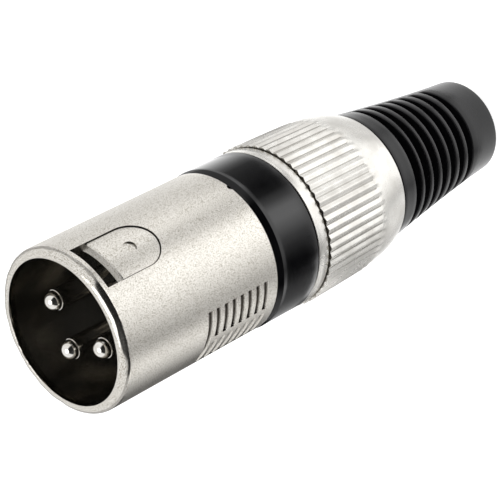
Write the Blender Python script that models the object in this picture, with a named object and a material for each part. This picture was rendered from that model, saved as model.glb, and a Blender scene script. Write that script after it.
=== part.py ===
"""Male three-pin XLR cable plug. It stands on the end of its boot, with the mouth up, at its real size in metres."""

import math

import bmesh
import bpy
from mathutils import Matrix, Vector

MM = 0.001

# Clearances between pieces
SEAT_GAP = 0.2 * MM  # between two faces that bear on each other
FIT_GAP = 0.15 * MM  # round a piece that is pressed or slid into another
THREAD_GAP = 0.2 * MM  # between the two threads, drawn as plain cylinders
CUT_PAST = 1.0 * MM  # how far a cutter runs past the face that it cuts
EDGE_BREAK = 0.1 * MM  # the small chamfer on turned edges

# Lengths along the axis, from the boot's end at z = 0 up to the mouth
BOOT_TAIL_LENGTH = 20.7 * MM
NUT_LENGTH = 16.15 * MM
RING_LENGTH = 6.4 * MM
BARREL_LENGTH = 23.15 * MM

# Shell: the barrel
SHELL_R = 9.5 * MM
MOUTH_WALL = 1.15 * MM
MOUTH_DEPTH = 14.6 * MM
LIP_ROUND = 0.5 * MM

# Shell: the threaded spigot behind the barrel
SPIGOT_LENGTH = 16.3 * MM
THREAD_SINK = 1.2 * MM  # from the barrel's radius in to the thread's
SPIGOT_WALL = 1.0 * MM
RING_SEAT_RISE = 0.2 * MM  # of the ring's seat over the thread
SPIGOT_CHAMFER = 0.4 * MM
STOP_WIDTH = 0.55 * MM  # of the shoulder in the bore that stops the insert

# Shell: latch window and the D-shaped recess behind it, on the key side, which faces -Y
KEY_ANGLE = math.radians(-90)
WINDOW_WIDTH = 6.06 * MM
WINDOW_FROM_MOUTH = 1.3 * MM
WINDOW_LENGTH = 2.25 * MM
RECESS_LENGTH = 7.0 * MM
RECESS_DEPTH = 0.3 * MM
DIMPLE_R = 0.75 * MM
DIMPLE_DEPTH = 0.22 * MM
DIMPLE_FROM_WINDOW = 3.5 * MM

# Shell: grip grooves on both sides, and the nick in the rear edge
GROOVE_COUNT = 8
GROOVE_PITCH = 1.23 * MM
GROOVE_WIDTH = 0.72 * MM
GROOVE_FLOOR_WIDTH = 0.42 * MM
GROOVE_DEPTH = 0.35 * MM
GROOVE_FROM_SHOULDER = 1.9 * MM
GRIP_ANGLE = math.radians(88)  # from the key to the middle of the grip
GROOVE_ARC = math.radians(22)
ROW_GAP_ARC = math.radians(4.5)
NICK_R = 0.48 * MM
NICK_DEPTH = 0.35 * MM
NICK_ANGLE = math.radians(6.3)  # from the key

# Insert and its key
NOSE_LENGTH = 6.2 * MM
FLANGE_LENGTH = 5.5 * MM
KEY_WIDTH = 1.9 * MM
KEY_HEIGHT = 0.35 * MM
KEY_FROM_STOP = 0.45 * MM

# Pins, on a circle round the axis. Their radii are shares of the chuck sleeve's bore, 6.0 mm
PIN_COUNT = 3
PIN_CIRCLE_SHARE = 0.66  # a circle of 3.96 mm radius
PIN_SHARE = 0.2  # pins of 1.2 mm radius
PIN_FLANGE_SHARE = 0.3
CUP_SHARE = 0.25
PIN_TIP_STEP = 0.08 * MM  # from the pin's radius in to its tip's
PIN_TIP_FROM_MOUTH = 1.35 * MM
PIN_FLANGE_LENGTH = 1.6 * MM
CUP_WALL = 0.45 * MM
CUP_LENGTH = 6.0 * MM
CUP_DEPTH = 4.6 * MM
CUP_CUT_FROM_AXIS = 0.35 * MM
CUP_CUT_LENGTH = 2.8 * MM
CUP_CUT_SLOPE = 1.2 * MM

# Ground contact, a bent strip beside the insert
STRIP_THICKNESS = 0.4 * MM
STRIP_WIDTH = 2.6 * MM
STRIP_ANGLE = math.radians(-45)
STRIP_FROM_STOP = 0.8 * MM
STRIP_TAB_LENGTH = 4.6 * MM
STRIP_HOOK = 0.9 * MM
STRIP_BOW = 0.3 * MM
STRIP_HOLE_R = 0.7 * MM
STRIP_HOLE_FROM_END = 1.3 * MM

# Ring, flush with the barrel
RING_RISE = 0.1 * MM  # of its bright edge over the barrel
RING_CHAMFER_LENGTH = 0.7 * MM
RING_CHAMFER_DEPTH = 0.3 * MM

# Nut, whose outer radii are given by how far they rise over the barrel
COLLAR_RISE = 0.05 * MM
COLLAR_LENGTH = 1.3 * MM
RELIEF_WIDTH = 0.4 * MM
RELIEF_DEPTH = 0.3 * MM
FLUTE_COUNT = 56
FLUTE_LENGTH = 9.5 * MM
FLUTE_FRONT_RISE = 0.38 * MM
FLUTE_REAR_RISE = 0.1 * MM
FLUTE_DEPTH = 0.35 * MM
TAPER_SINK = 0.08 * MM  # of the taper's front edge under the barrel
NUT_REAR_STEP = 0.3 * MM  # from the boot's collar out to the nut's rear edge
NUT_WALL = 1.55 * MM
THREAD_RELIEF = 0.6 * MM  # from the spigot's end to the floor of the thread

# Boot
BOOT_COLLAR_SINK = 1.2 * MM  # from the barrel's radius in to the boot's widest
BOOT_TAPER = 2.35 * MM  # from its widest radius in to that of its end
BOOT_CURVE = 1.25
BOOT_END_WALL = 2.65 * MM
BOOT_FLANGE_SINK = 0.85 * MM  # from the thread's radius in to the flange's
BOOT_FLANGE_RISE = 0.6 * MM  # of the flange over the neck
BOOT_FLANGE_LENGTH = 4.55 * MM
BOOT_ROUND = 0.25 * MM
SLOT_COUNT = 7
SLOT_PITCH = 1.92 * MM
SLOT_FROM_NUT = 3.3 * MM
SLOT_PAST_BORE = 1.4 * MM  # how far the slots' floors lie inside the bore's radius, which they open
SLOT_FLOOR_WIDTH = 0.7 * MM
SLOT_DRAFT = math.radians(3.4)
SLOT_ANGLE = math.radians(-126.7)
SOCKET_WALL = 0.75 * MM
SOCKET_FLARE = 2.5 * MM  # of the socket's mouth over its floor
SOCKET_DEPTH = 3.7 * MM

# Chuck
SLEEVE_WALL = 1.15 * MM
JAW_STEP = 0.2 * MM  # from the boot's bore out to the jaws'
JAW_RIDGE = 0.3 * MM
JAW_RIDGE_COUNT = 3
JAW_GAP = 0.25 * MM
SLIT_WIDTH = 0.8 * MM
SLIT_LENGTH = 7.6 * MM

# Flat steps round each piece, and along its curves
SHELL_STEPS = 60
RING_STEPS = 56
BOOT_STEPS = 48
INSERT_STEPS = 40
PIN_STEPS = 16
DOME_STEPS = 4
ROUND_STEPS = 3
PROFILE_STEPS = 5
RECESS_STEPS = 14
GROOVE_STEP = math.radians(11)

# Levels that follow from the lengths
nut_rear_z = BOOT_TAIL_LENGTH + SEAT_GAP
nut_front_z = nut_rear_z + NUT_LENGTH
ring_rear_z = nut_front_z + SEAT_GAP
ring_front_z = ring_rear_z + RING_LENGTH
shoulder_z = ring_front_z + SEAT_GAP
mouth_z = shoulder_z + BARREL_LENGTH
floor_z = mouth_z - MOUTH_DEPTH
stop_z = floor_z - NOSE_LENGTH
spigot_end_z = shoulder_z - SPIGOT_LENGTH
insert_flange_z = stop_z - SEAT_GAP
insert_rear_z = insert_flange_z - FLANGE_LENGTH
chuck_front_z = insert_rear_z - SEAT_GAP
nut_wall_z = nut_rear_z + NUT_WALL
nut_thread_z = spigot_end_z - THREAD_RELIEF
flute_front_z = nut_front_z - COLLAR_LENGTH - RELIEF_WIDTH
flute_rear_z = flute_front_z - FLUTE_LENGTH
boot_flange_z = nut_wall_z + SEAT_GAP
boot_front_z = boot_flange_z + BOOT_FLANGE_LENGTH
socket_floor_z = boot_front_z - SOCKET_DEPTH
jaw_front_z = boot_front_z + 2 * SEAT_GAP
jaw_end_z = socket_floor_z + 2 * SEAT_GAP

# Radii that follow from the barrel's
mouth_r = SHELL_R - MOUTH_WALL
thread_r = SHELL_R - THREAD_SINK
ring_seat_r = thread_r + RING_SEAT_RISE
spigot_bore_r = thread_r - SPIGOT_WALL
nose_bore_r = spigot_bore_r - STOP_WIDTH
nose_r = nose_bore_r - FIT_GAP
flange_r = spigot_bore_r - FIT_GAP
sleeve_bore_r = flange_r - SLEEVE_WALL
nut_thread_r = thread_r + THREAD_GAP
recess_r = SHELL_R - RECESS_DEPTH
pin_circle_r = sleeve_bore_r * PIN_CIRCLE_SHARE
pin_r = sleeve_bore_r * PIN_SHARE
pin_tip_r = pin_r - PIN_TIP_STEP
pin_flange_r = sleeve_bore_r * PIN_FLANGE_SHARE
cup_r = sleeve_bore_r * CUP_SHARE
boot_collar_r = SHELL_R - BOOT_COLLAR_SINK
boot_end_r = boot_collar_r - BOOT_TAPER
boot_bore_r = boot_end_r - BOOT_END_WALL
boot_flange_r = thread_r - BOOT_FLANGE_SINK
boot_neck_r = boot_flange_r - BOOT_FLANGE_RISE
slot_floor = boot_bore_r - SLOT_PAST_BORE
socket_mouth_r = boot_flange_r - SOCKET_WALL
socket_floor_r = socket_mouth_r - SOCKET_FLARE
jaw_bore_r = boot_bore_r + JAW_STEP


def arc(centre_r, centre_z, radius, start, end, steps):
    """Points (r, z) of an arc, with its angles in degrees, 0 pointing out and 90 pointing up."""
    turns = [math.radians(start + (end - start) * i / steps) for i in range(steps + 1)]
    return [(centre_r + radius * math.cos(t), centre_z + radius * math.sin(t)) for t in turns]


def cylindrical(radius, angle, z):
    return Vector((radius * math.cos(angle), radius * math.sin(angle), z))


def plain_material(name, colour, roughness, metallic):
    material = bpy.data.materials.new(name)
    material.use_nodes = True
    shader = material.node_tree.nodes["Principled BSDF"]
    shader.inputs["Base Color"].default_value = (*colour, 1)
    shader.inputs["Roughness"].default_value = roughness
    shader.inputs["Metallic"].default_value = metallic
    return material


def finish(name, bm, material):
    """Turns a bmesh into an object of the scene, shaded smooth where it has a material."""
    bmesh.ops.remove_doubles(bm, verts=bm.verts, dist=1e-7)
    bmesh.ops.recalc_face_normals(bm, faces=bm.faces)
    mesh = bpy.data.meshes.new(name)
    bm.to_mesh(mesh)
    bm.free()
    obj = bpy.data.objects.new(name, mesh)
    bpy.context.scene.collection.objects.link(obj)
    if material:
        mesh.materials.append(material)
        mesh.shade_smooth()
        mesh.set_sharp_from_angle(angle=math.radians(30))
    return obj


def turned_mesh(outline, steps, closed=True):
    """A bmesh spun about Z from (r, z) points. An outline that isn't closed starts and ends on the axis."""
    bm = bmesh.new()
    verts = [bm.verts.new((r, 0, z)) for r, z in outline]
    edges = [bm.edges.new(pair) for pair in zip(verts, verts[1:])]
    if closed:
        edges.append(bm.edges.new((verts[-1], verts[0])))
    bmesh.ops.spin(
        bm,
        geom=verts + edges,
        cent=(0, 0, 0),
        axis=(0, 0, 1),
        angle=2 * math.pi,
        steps=steps,
        use_merge=True,
    )
    return bm


def turned(name, outline, steps, material, closed=True):
    return finish(name, turned_mesh(outline, steps, closed), material)


def loft(bm, sections):
    """Adds a closed solid through a list of sections, each with the same number of points."""
    rings = [[bm.verts.new(point) for point in section] for section in sections]
    for low, high in zip(rings, rings[1:]):
        for i, vert in enumerate(low):
            after = (i + 1) % len(low)
            bm.faces.new((vert, low[after], high[after], high[i]))
    bm.faces.new(rings[0])
    bm.faces.new(rings[-1])


def across(section, width, angle):
    """Two copies of an (r, z) section, half a width to each side of the half-plane at an angle."""
    turn = Matrix.Rotation(angle, 3, "Z")
    return [[turn @ Vector((r, side * width / 2, z)) for r, z in section] for side in (-1, 1)]


def add_block(bm, r_span, width, z_span, angle):
    """Adds a box between two distances from the axis and two levels, at an angle round the axis."""
    (r_low, r_high), (z_low, z_high) = r_span, z_span
    section = [(r_low, z_low), (r_high, z_low), (r_high, z_high), (r_low, z_high)]
    loft(bm, across(section, width, angle))


def add_bar(bm, radius, low, high, steps=PIN_STEPS):
    """Adds a round bar between two points."""
    turn = Vector((0, 0, 1)).rotation_difference(high - low).to_matrix()
    circle = [turn @ cylindrical(radius, 2 * math.pi * i / steps, 0) for i in range(steps)]
    loft(bm, [[end + point for point in circle] for end in (low, high)])


def boolean(target, bm, operation="DIFFERENCE"):
    """Cuts a bmesh from an object, or joins it on, with a Boolean modifier."""
    tool = finish(f"{target.name}_tool_{len(target.modifiers)}", bm, None)
    tool.hide_render = True
    tool.display_type = "WIRE"
    tool.parent = target
    modifier = target.modifiers.new(tool.name, "BOOLEAN")
    modifier.operation = operation
    modifier.object = tool


def latch_cutter():
    """The latch window and the D-shaped recess behind it, whose floor follows the barrel."""
    window_top = mouth_z - WINDOW_FROM_MOUTH
    window_low = window_top - WINDOW_LENGTH
    half = WINDOW_WIDTH / 2
    round_z = window_low - RECESS_LENGTH + half
    past_r = SHELL_R + CUT_PAST
    turn = Matrix.Rotation(KEY_ANGLE, 3, "Z")
    sections = []
    for i in range(RECESS_STEPS + 1):
        side = -math.cos(math.pi * i / RECESS_STEPS)
        rear = round_z - half * math.sqrt(1 - side**2)
        floor = math.sqrt(recess_r**2 - (half * side) ** 2)
        section = [
            (floor, rear),
            (past_r, rear),
            (past_r, window_top),
            (nose_bore_r, window_top),
            (nose_bore_r, window_low),
            (floor, window_low),
        ]
        sections.append([turn @ Vector((r, half * side, z)) for r, z in section])
    bm = bmesh.new()
    loft(bm, sections)
    return bm


def dimple_cutter():
    """A small round index dimple in the middle of the recess."""
    z = mouth_z - WINDOW_FROM_MOUTH - WINDOW_LENGTH - DIMPLE_FROM_WINDOW
    low = cylindrical(recess_r - DIMPLE_DEPTH, KEY_ANGLE, z)
    high = cylindrical(SHELL_R + CUT_PAST, KEY_ANGLE, z)
    bm = bmesh.new()
    add_bar(bm, DIMPLE_R, low, high)
    return bm


def add_groove(bm, z, start, end):
    """Adds the cutter of one grip groove, a channel with sloping walls from one angle to another."""
    floor_r = SHELL_R - GROOVE_DEPTH
    past_r = SHELL_R + CUT_PAST
    slope = (GROOVE_WIDTH - GROOVE_FLOOR_WIDTH) / 2 / GROOVE_DEPTH
    floor_half = GROOVE_FLOOR_WIDTH / 2
    past_half = GROOVE_WIDTH / 2 + slope * CUT_PAST
    steps = round((end - start) / GROOVE_STEP)
    sections = []
    for i in range(steps + 1):
        angle = start + (end - start) * i / steps
        section = [
            cylindrical(floor_r, angle, z - floor_half),
            cylindrical(past_r, angle, z - past_half),
            cylindrical(past_r, angle, z + past_half),
            cylindrical(floor_r, angle, z + floor_half),
        ]
        sections.append(section)
    loft(bm, sections)


def grip_cutters():
    """Two rows of grooves on each side. The groove nearest the mouth runs through both rows."""
    bm = bmesh.new()
    inner = ROW_GAP_ARC / 2
    outer = inner + GROOVE_ARC
    for side in (-1, 1):
        middle = KEY_ANGLE + side * GRIP_ANGLE
        for i in range(GROOVE_COUNT):
            z = shoulder_z + GROOVE_FROM_SHOULDER + i * GROOVE_PITCH
            if i == GROOVE_COUNT - 1:
                add_groove(bm, z, middle - outer, middle + outer)
            else:
                add_groove(bm, z, middle - outer, middle - inner)
                add_groove(bm, z, middle + inner, middle + outer)
    return bm


def nick_cutter():
    """The small round nick in the barrel's rear edge."""
    angle = KEY_ANGLE + NICK_ANGLE
    low = cylindrical(SHELL_R - NICK_DEPTH, angle, shoulder_z)
    high = cylindrical(SHELL_R + CUT_PAST, angle, shoulder_z)
    bm = bmesh.new()
    add_bar(bm, NICK_R, low, high)
    return bm


def keyway_cutter():
    """The keyway in the rear bore, which the insert's key slides up."""
    r_span = (nose_r, spigot_bore_r + KEY_HEIGHT + FIT_GAP)
    z_span = (spigot_end_z - CUT_PAST, stop_z - KEY_FROM_STOP + FIT_GAP)
    bm = bmesh.new()
    add_block(bm, r_span, KEY_WIDTH + 2 * FIT_GAP, z_span, KEY_ANGLE)
    return bm


def make_shell(material):
    """The cast shell: barrel, cavity for the mating plug, threaded spigot and stepped bore for the insert."""
    outline = [(mouth_r + EDGE_BREAK, mouth_z)]
    outline += arc(SHELL_R - LIP_ROUND, mouth_z - LIP_ROUND, LIP_ROUND, 90, 0, ROUND_STEPS)
    outline += [
        (SHELL_R, shoulder_z + EDGE_BREAK),
        (SHELL_R - EDGE_BREAK, shoulder_z),
        (ring_seat_r, shoulder_z),
        (ring_seat_r, ring_rear_z),
        (thread_r, ring_rear_z - RING_SEAT_RISE),
        (thread_r, spigot_end_z + SPIGOT_CHAMFER),
        (thread_r - SPIGOT_CHAMFER, spigot_end_z),
        (spigot_bore_r, spigot_end_z),
        (spigot_bore_r, stop_z),
        (nose_bore_r, stop_z),
        (nose_bore_r, floor_z),
        (mouth_r, floor_z),
        (mouth_r, mouth_z - EDGE_BREAK),
    ]
    shell = turned("shell", outline, SHELL_STEPS, material)
    for cutter in (latch_cutter, dimple_cutter, grip_cutters, nick_cutter, keyway_cutter):
        boolean(shell, cutter())


def strip_line():
    """The middle line of the ground contact, as (r, z) points from its hook down to the end of its tab."""
    bore_side = flange_r - STRIP_THICKNESS / 2 - STRIP_BOW
    tab_side = sleeve_bore_r - FIT_GAP - STRIP_THICKNESS / 2
    top = insert_flange_z - STRIP_FROM_STOP
    bend_z = insert_rear_z - STRIP_THICKNESS
    tab_top = bend_z - (bore_side - tab_side)
    return [
        (bore_side - STRIP_HOOK, top),
        (bore_side, top),
        (bore_side + STRIP_BOW, (top + insert_rear_z) / 2),
        (bore_side, insert_rear_z),
        (bore_side, bend_z),
        (tab_side, tab_top),
        (tab_side, tab_top - STRIP_TAB_LENGTH),
    ]


def thickened(line, thickness):
    """The outline of a strip of even thickness along an open line of (r, z) points."""
    points = [Vector(point) for point in line]
    ways = [(after - before).normalized() for before, after in zip(points, points[1:])]
    left, right = [], []
    for point, way_in, way_out in zip(points, ways[:1] + ways, ways + ways[-1:]):
        along = (way_in + way_out).normalized()
        reach = thickness / 2 / along.dot(way_in)
        side = Vector((-along.y, along.x)) * reach
        left.append(point + side)
        right.append(point - side)
    return left + right[::-1]


def pin_angles():
    """The angles of pins 1, 3 and 2. The middle one is opposite the key."""
    return [KEY_ANGLE + math.pi / 2 * (i + 1) for i in range(PIN_COUNT)]


def pin_hole_cutters(radius, top):
    bm = bmesh.new()
    for angle in pin_angles():
        low = cylindrical(pin_circle_r, angle, insert_rear_z - CUT_PAST)
        high = cylindrical(pin_circle_r, angle, top)
        add_bar(bm, radius, low, high)
    return bm


def strip_slot_cutter():
    """The slot in the insert's side that the ground contact hooks into."""
    (hook_r, strip_top), (bore_side, _) = strip_line()[:2]
    around = STRIP_THICKNESS / 2 + FIT_GAP
    past_r = spigot_bore_r + CUT_PAST
    past_z = insert_rear_z - CUT_PAST
    section = [
        (bore_side - around, past_z),
        (past_r, past_z),
        (past_r, strip_top + around),
        (hook_r - FIT_GAP, strip_top + around),
        (hook_r - FIT_GAP, strip_top - around),
        (bore_side - around, strip_top - around),
    ]
    bm = bmesh.new()
    loft(bm, across(section, STRIP_WIDTH + 2 * FIT_GAP, STRIP_ANGLE))
    return bm


def make_insert(material):
    """The moulded insert that holds the pins: a nose in the cavity's floor, and a flange against the stop."""
    outline = [
        (0, floor_z),
        (nose_r - EDGE_BREAK, floor_z),
        (nose_r, floor_z - EDGE_BREAK),
        (nose_r, insert_flange_z),
        (flange_r, insert_flange_z),
        (flange_r, insert_rear_z),
        (0, insert_rear_z),
    ]
    insert = turned("insert", outline, INSERT_STEPS, material, closed=False)
    key = bmesh.new()
    z_span = (insert_rear_z, stop_z - KEY_FROM_STOP)
    add_block(key, (nose_r, spigot_bore_r + KEY_HEIGHT), KEY_WIDTH, z_span, KEY_ANGLE)
    boolean(insert, key, "UNION")
    boolean(insert, pin_hole_cutters(pin_r + FIT_GAP, floor_z + CUT_PAST))
    flange_top = insert_rear_z + PIN_FLANGE_LENGTH + SEAT_GAP
    boolean(insert, pin_hole_cutters(pin_flange_r + FIT_GAP, flange_top))
    boolean(insert, strip_slot_cutter())


def make_pin(name, angle, material):
    """A turned pin: round tip, shank, flange that seats in the insert, and a solder cup cut open on its outer side."""
    tip_z = mouth_z - PIN_TIP_FROM_MOUTH - pin_tip_r
    flange_top = insert_rear_z + PIN_FLANGE_LENGTH
    cup_end = insert_rear_z - CUP_LENGTH
    cup_bore_r = cup_r - CUP_WALL
    outline = [
        (0, cup_end + CUP_DEPTH),
        (cup_bore_r, cup_end + CUP_DEPTH),
        (cup_bore_r, cup_end),
        (cup_r, cup_end),
        (cup_r, insert_rear_z + SEAT_GAP),
        (pin_flange_r, insert_rear_z + SEAT_GAP),
        (pin_flange_r, flange_top),
        (pin_r, flange_top),
        (pin_r, tip_z - (pin_r - pin_tip_r)),
    ]
    outline += arc(0, tip_z, pin_tip_r, 0, 90, DOME_STEPS)[:-1]
    outline.append((0, tip_z + pin_tip_r))
    pin = turned(name, outline, PIN_STEPS, material, closed=False)
    past_r = cup_r + CUT_PAST
    cut = [
        (CUP_CUT_FROM_AXIS, cup_end - CUT_PAST),
        (past_r, cup_end - CUT_PAST),
        (past_r, cup_end + CUP_CUT_LENGTH + CUP_CUT_SLOPE),
        (CUP_CUT_FROM_AXIS, cup_end + CUP_CUT_LENGTH),
    ]
    opening = bmesh.new()
    loft(opening, across(cut, 2 * past_r, 0))
    boolean(pin, opening)
    pin.location = cylindrical(pin_circle_r, angle, 0)
    pin.rotation_euler.z = angle


def make_ground_contact(material):
    """The bent strip that bears on the shell's bore and has a solder tab behind the insert."""
    line = strip_line()
    bm = bmesh.new()
    loft(bm, across(thickened(line, STRIP_THICKNESS), STRIP_WIDTH, STRIP_ANGLE))
    contact = finish("ground_contact", bm, material)
    tab_r, tab_end = line[-1]
    hole_z = tab_end + STRIP_HOLE_FROM_END
    low = cylindrical(tab_r - CUT_PAST, STRIP_ANGLE, hole_z)
    high = cylindrical(tab_r + CUT_PAST, STRIP_ANGLE, hole_z)
    hole = bmesh.new()
    add_bar(hole, STRIP_HOLE_R, low, high)
    boolean(contact, hole)


def make_ring(material):
    """The coloured ring, held between the barrel and the nut."""
    bore_r = ring_seat_r + FIT_GAP
    edge_r = SHELL_R + RING_RISE
    outline = [
        (bore_r, ring_front_z),
        (edge_r - RING_CHAMFER_DEPTH, ring_front_z),
        (edge_r, ring_front_z - RING_CHAMFER_LENGTH),
        (SHELL_R, ring_rear_z + EDGE_BREAK),
        (SHELL_R - EDGE_BREAK, ring_rear_z),
        (bore_r, ring_rear_z),
    ]
    turned("ring", outline, RING_STEPS, material)


def socket_r(z):
    """Radius of the boot's conical socket at a level."""
    slope = (socket_mouth_r - socket_floor_r) / SOCKET_DEPTH
    return socket_floor_r + slope * (z - socket_floor_z)


def make_chuck(material):
    """The cable clamp: a sleeve that bears on the insert, and four jaws that the boot's socket closes."""
    ridge_pitch = (jaw_front_z - jaw_end_z) / JAW_RIDGE_COUNT
    outline = [
        (sleeve_bore_r, chuck_front_z),
        (flange_r, chuck_front_z),
        (flange_r, jaw_front_z),
        (socket_r(jaw_front_z) - JAW_GAP, jaw_front_z),
        (socket_r(jaw_end_z) - JAW_GAP, jaw_end_z),
    ]
    for i in range(JAW_RIDGE_COUNT):
        z = jaw_end_z + i * ridge_pitch
        outline += [(jaw_bore_r, z), (jaw_bore_r + JAW_RIDGE, z + ridge_pitch / 2)]
    outline += [(jaw_bore_r, jaw_front_z), (sleeve_bore_r, jaw_front_z + SLEEVE_WALL)]
    chuck = turned("chuck", outline, INSERT_STEPS, material)

    slit_span = (jaw_end_z - CUT_PAST, jaw_end_z + SLIT_LENGTH)
    for angle in (0, math.pi / 2):
        slit = bmesh.new()
        add_block(slit, (-SHELL_R, SHELL_R), SLIT_WIDTH, slit_span, angle)
        boolean(chuck, slit)

    tab_side, tab_top = strip_line()[-2]
    notch = bmesh.new()
    z_span = (tab_top - STRIP_THICKNESS, chuck_front_z + CUT_PAST)
    add_block(notch, (tab_side, SHELL_R), STRIP_WIDTH + 2 * SEAT_GAP, z_span, STRIP_ANGLE)
    boolean(chuck, notch)


def nut_skin():
    """The nut's outside. The flutes start as a plain band at their root radius."""
    collar_r = SHELL_R + COLLAR_RISE
    collar_end = nut_front_z - COLLAR_LENGTH
    taper_front_r = SHELL_R - TAPER_SINK
    taper_rear_r = boot_collar_r + NUT_REAR_STEP
    taper_front_z = flute_rear_z - FLUTE_DEPTH
    taper_length = taper_front_z - nut_rear_z - BOOT_ROUND
    skin = [
        (collar_r - EDGE_BREAK, nut_front_z),
        (collar_r, nut_front_z - EDGE_BREAK),
        (collar_r, collar_end),
        (collar_r - RELIEF_DEPTH, collar_end),
        (collar_r - RELIEF_DEPTH, flute_front_z + EDGE_BREAK),
        (SHELL_R + FLUTE_FRONT_RISE - FLUTE_DEPTH, flute_front_z),
        (SHELL_R + FLUTE_REAR_RISE - FLUTE_DEPTH, flute_rear_z),
    ]
    for i in range(PROFILE_STEPS):
        part = i / (PROFILE_STEPS - 1)
        radius = taper_front_r + (taper_rear_r - taper_front_r) * part**2
        skin.append((radius, taper_front_z - taper_length * part))
    skin.append((taper_rear_r - BOOT_ROUND, nut_rear_z))
    return skin


def nut_bore():
    """The nut's inside: the hole for the boot's neck, the pocket for its flange, and the thread."""
    hole_r = boot_neck_r + FIT_GAP
    pocket_r = boot_flange_r + FIT_GAP
    return [
        (hole_r, nut_rear_z),
        (hole_r, nut_wall_z),
        (pocket_r, nut_wall_z),
        (pocket_r, nut_thread_z),
        (nut_thread_r, nut_thread_z),
        (nut_thread_r, nut_front_z - SPIGOT_CHAMFER),
        (nut_thread_r + SPIGOT_CHAMFER, nut_front_z),
    ]


def column_of(vert):
    """Which column of the nut's mesh a point is on. The flutes' crests are the even ones."""
    return round(math.atan2(vert.co.y, vert.co.x) / math.pi * FLUTE_COUNT)


def raise_flutes(bm, roots):
    """Lifts every other point of two root circles, so that the band between them becomes triangular flutes."""
    for vert in bm.verts:
        radius = math.hypot(vert.co.x, vert.co.y)
        on_root = any(math.dist((radius, vert.co.z), root) < EDGE_BREAK / 4 for root in roots)
        if on_root and column_of(vert) % 2 == 0:
            vert.co.x *= (radius + FLUTE_DEPTH) / radius
            vert.co.y *= (radius + FLUTE_DEPTH) / radius


def halve_bore(bm, bore):
    """Dissolves every other column of edges on the bore, which needs fewer steps than the flutes."""
    spare = []
    for edge in bm.edges:
        spots = [(math.hypot(vert.co.x, vert.co.y), vert.co.z) for vert in edge.verts]
        on_bore = any(math.dist(spot, point) < EDGE_BREAK / 4 for spot in spots for point in bore)
        if on_bore and all(column_of(vert) % 2 for vert in edge.verts):
            spare.append(edge)
    bmesh.ops.dissolve_edges(bm, edges=spare, use_verts=True)


def make_nut(material):
    """The nut that screws onto the spigot, with its row of flutes."""
    skin, bore = nut_skin(), nut_bore()
    bm = turned_mesh(skin + bore, 2 * FLUTE_COUNT)
    roots = [point for point in skin if point[1] in (flute_front_z, flute_rear_z)]
    raise_flutes(bm, roots)
    halve_bore(bm, bore)
    finish("nut", bm, material)


def boot_r(z):
    """Outer radius of the boot's tail at a level."""
    return boot_end_r + (boot_collar_r - boot_end_r) * (z / BOOT_TAIL_LENGTH) ** BOOT_CURVE


def slot_cutters():
    """The boot's slots, cut from two opposite sides with tapering walls."""
    reach = boot_collar_r + CUT_PAST
    floor_half = SLOT_FLOOR_WIDTH / 2
    mouth_half = floor_half + (reach - slot_floor) * math.tan(SLOT_DRAFT)
    bm = bmesh.new()
    for i in range(SLOT_COUNT):
        z = BOOT_TAIL_LENGTH - SLOT_FROM_NUT - i * SLOT_PITCH
        section = [
            (slot_floor, z - floor_half),
            (reach, z - mouth_half),
            (reach, z + mouth_half),
            (slot_floor, z + floor_half),
        ]
        for side in (0, math.pi):
            loft(bm, across(section, 2 * reach, SLOT_ANGLE + side))
    return bm


def make_boot(material):
    """The rubber boot: slotted tail, neck through the nut, and flange with the socket that closes the chuck."""
    tail = BOOT_TAIL_LENGTH - BOOT_ROUND
    outline = [(boot_bore_r, 0), (boot_end_r - BOOT_ROUND, 0), (boot_r(BOOT_ROUND), BOOT_ROUND)]
    for i in range(1, PROFILE_STEPS + 1):
        z = tail * i / PROFILE_STEPS
        outline.append((boot_r(z), z))
    outline += [
        (boot_collar_r - BOOT_ROUND, BOOT_TAIL_LENGTH),
        (boot_neck_r, BOOT_TAIL_LENGTH),
        (boot_neck_r, boot_flange_z),
        (boot_flange_r, boot_flange_z),
        (boot_flange_r, boot_front_z),
        (socket_mouth_r, boot_front_z),
        (socket_floor_r, socket_floor_z),
        (boot_bore_r, socket_floor_z - (socket_floor_r - boot_bore_r)),
    ]
    boot = turned("boot", outline, BOOT_STEPS, material)
    boolean(boot, slot_cutters())


def main():
    for obj in list(bpy.data.objects):
        bpy.data.objects.remove(obj)
    satin_nickel = plain_material("satin_nickel", (0.62, 0.60, 0.57), 0.38, 1.0)
    bright_nickel = plain_material("bright_nickel", (0.70, 0.69, 0.66), 0.2, 1.0)
    plated_pin = plain_material("plated_pin", (0.75, 0.74, 0.72), 0.08, 1.0)
    gloss_black = plain_material("gloss_black_plastic", (0.01, 0.01, 0.012), 0.12, 0.0)
    matt_black = plain_material("matt_black_plastic", (0.015, 0.014, 0.013), 0.5, 0.0)
    black_rubber = plain_material("black_rubber", (0.02, 0.02, 0.022), 0.42, 0.0)

    make_shell(satin_nickel)
    make_insert(matt_black)
    for number, angle in zip((1, 3, 2), pin_angles()):
        make_pin(f"pin_{number}", angle, plated_pin)
    make_ground_contact(plated_pin)
    make_ring(gloss_black)
    make_chuck(matt_black)
    make_nut(bright_nickel)
    make_boot(black_rubber)


main()
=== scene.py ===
# %% [markdown]
# # A three-pin cable plug
#
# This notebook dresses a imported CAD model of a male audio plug. The plug stands on its rubber boot,
# with its mouth up. The CAD model gives every piece its place and size. Each piece that shows is
# modelled once more here, with finer steps, rounded edges and a finish of its own.

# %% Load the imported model
import math

import bmesh
import bpy
from mathutils import Euler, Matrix, Quaternion, Vector, noise


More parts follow.
